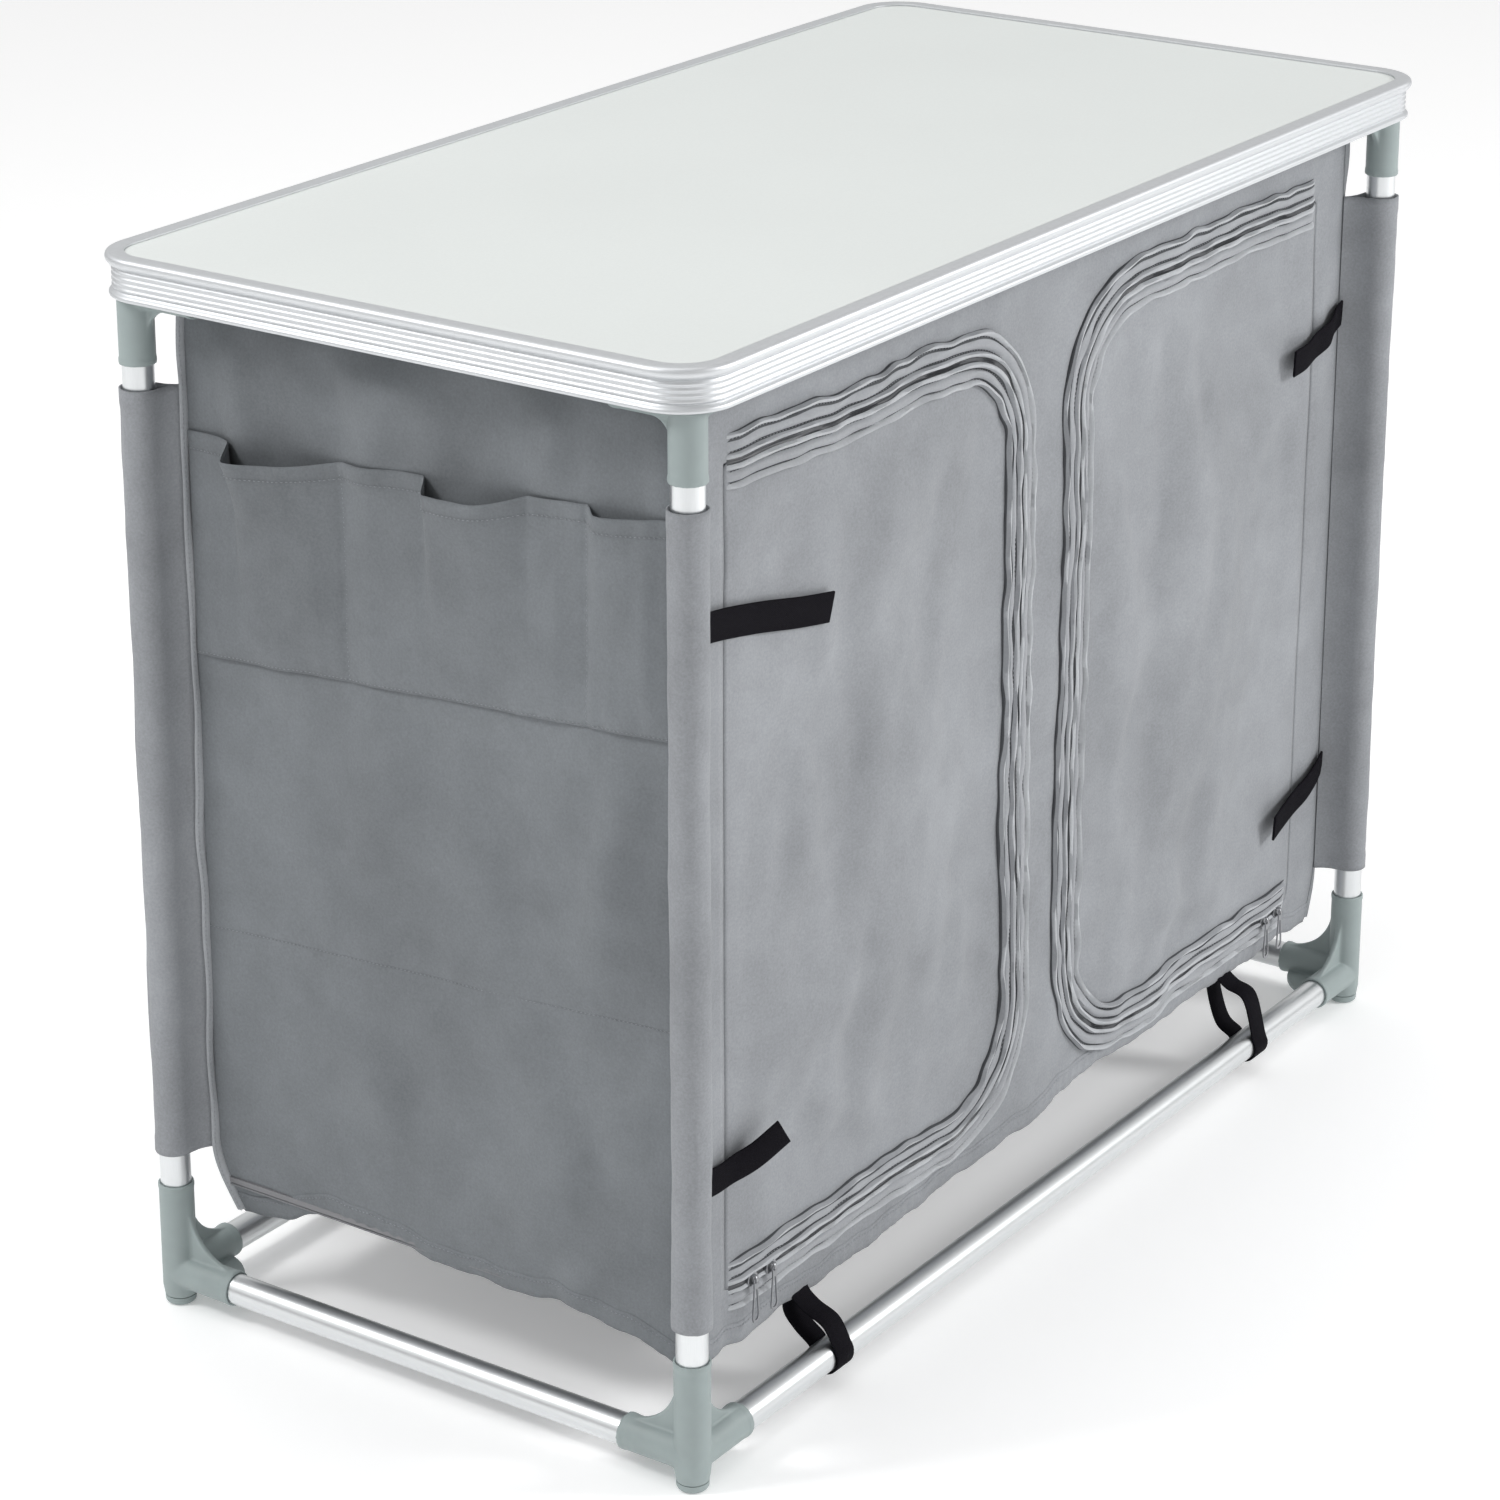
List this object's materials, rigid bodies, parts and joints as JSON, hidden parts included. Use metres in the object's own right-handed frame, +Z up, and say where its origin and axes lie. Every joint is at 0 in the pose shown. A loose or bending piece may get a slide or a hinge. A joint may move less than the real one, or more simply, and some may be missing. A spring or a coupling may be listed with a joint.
{
  "type": "camp kitchen table",
  "caption": "Camping kitchen stand: lift-off worktop on a push-fit tube frame over a zipped two-door fabric cupboard with end pockets.",
  "frame": {"origin": "on the ground under the middle of the table", "axes": "+Z up, long side along X, doors face -Y, end pockets face -X"},
  "size_m": [0.98, 0.5, 0.78],
  "materials": {
    "board": "matt white laminate on fibreboard",
    "rim": "satin anodised extrusion",
    "tube": "brushed anodised tube",
    "moulding": "grey-green moulded plastic",
    "fabric_front": "mid-grey coated polyester",
    "fabric_end": "dark grey coated polyester",
    "liner": "plain woven lining",
    "stiffener": "hollow plastic sheet",
    "webbing": "black woven tape",
    "zip_tape": "woven zip tape with moulded coil",
    "metal": "nickel-plated die casting"
  },
  "bodies": {
    "frame": {"foot_caps": "moulding", "leg_front_left": "tube", "lower_connector_front_left": "moulding", "upper_connector_front_left": "moulding", "leg_sleeve_front_left": "fabric_front", "leg_front_right": "tube", "lower_connector_front_right": "moulding", "upper_connector_front_right": "moulding", "leg_sleeve_front_right": "fabric_front", "leg_back_left": "tube", "lower_connector_back_left": "moulding", "upper_connector_back_left": "moulding", "leg_sleeve_back_left": "fabric_front", "leg_back_right": "tube", "lower_connector_back_right": "moulding", "upper_connector_back_right": "moulding", "leg_sleeve_back_right": "fabric_front", "lower_rail_front": "tube", "lower_rail_back": "tube", "lower_rail_left": "tube", "lower_rail_right": "tube", "upper_rail_front": "tube", "upper_rail_back": "tube", "upper_rail_left": "tube", "upper_rail_right": "tube", "front_panel": "fabric_front", "back_panel": "fabric_front", "top_panel": "fabric_front", "end_panel_left": "fabric_end", "end_panel_right": "fabric_end", "pocket_strip": "fabric_end", "floor_panel": "liner", "shelf_panels": "liner", "divider": "liner", "floor_boards": "stiffener", "shelf_boards": "stiffener", "strap_anchors": "webbing", "tube_loops": "webbing", "zip_panel_half_left": "zip_tape", "zip_panel_half_right": "zip_tape"},
    "table_top": {"table_board": "board", "table_rim": "rim", "corner_rests": "moulding"},
    "door_left": {"door_left": "fabric_front", "zip_door_half_left": "zip_tape", "door_straps_left": "webbing"},
    "slider_left_outer": {"zip_slider_left_outer": "metal"},
    "pull_left_outer": {"zip_pull_left_outer": "metal"},
    "slider_left_inner": {"zip_slider_left_inner": "metal"},
    "pull_left_inner": {"zip_pull_left_inner": "metal"},
    "door_right": {"door_right": "fabric_front", "zip_door_half_right": "zip_tape", "door_straps_right": "webbing"},
    "slider_right_outer": {"zip_slider_right_outer": "metal"},
    "pull_right_outer": {"zip_pull_right_outer": "metal"},
    "slider_right_inner": {"zip_slider_right_inner": "metal"},
    "pull_right_inner": {"zip_pull_right_inner": "metal"}
  },
  "joints": [
    {"name": "table_top_lift", "type": "slide", "parent": "frame", "child": "table_top", "axis": [0, 0, 1], "range_m": [0, 0.06]},
    {"name": "door_left_swing", "type": "hinge", "parent": "frame", "child": "door_left", "pos_m": [-0.398, -0.204, 0.4], "axis": [0, 0, 1], "range_deg": [-115, 0]},
    {"name": "slider_left_outer_slide", "type": "slide", "parent": "door_left", "child": "slider_left_outer", "axis": [1, 0, 0], "range_m": [0, 0.008]},
    {"name": "pull_left_outer_swing", "type": "hinge", "parent": "slider_left_outer", "child": "pull_left_outer", "pos_m": [-0.372, -0.2118, 0.108], "axis": [1, 0, 0], "range_deg": [-80, 0]},
    {"name": "slider_left_inner_slide", "type": "slide", "parent": "door_left", "child": "slider_left_inner", "axis": [1, 0, 0], "range_m": [0, 0.22]},
    {"name": "pull_left_inner_swing", "type": "hinge", "parent": "slider_left_inner", "child": "pull_left_inner", "pos_m": [-0.35, -0.2118, 0.108], "axis": [1, 0, 0], "range_deg": [-80, 0]},
    {"name": "door_right_swing", "type": "hinge", "parent": "frame", "child": "door_right", "pos_m": [0.398, -0.204, 0.4], "axis": [0, 0, 1], "range_deg": [0, 115]},
    {"name": "slider_right_outer_slide", "type": "slide", "parent": "door_right", "child": "slider_right_outer", "axis": [-1, 0, 0], "range_m": [0, 0.008]},
    {"name": "pull_right_outer_swing", "type": "hinge", "parent": "slider_right_outer", "child": "pull_right_outer", "pos_m": [0.372, -0.2118, 0.108], "axis": [1, 0, 0], "range_deg": [-80, 0]},
    {"name": "slider_right_inner_slide", "type": "slide", "parent": "door_right", "child": "slider_right_inner", "axis": [-1, 0, 0], "range_m": [0, 0.22]},
    {"name": "pull_right_inner_swing", "type": "hinge", "parent": "slider_right_inner", "child": "pull_right_inner", "pos_m": [0.35, -0.2118, 0.108], "axis": [1, 0, 0], "range_deg": [-80, 0]}
  ]
}
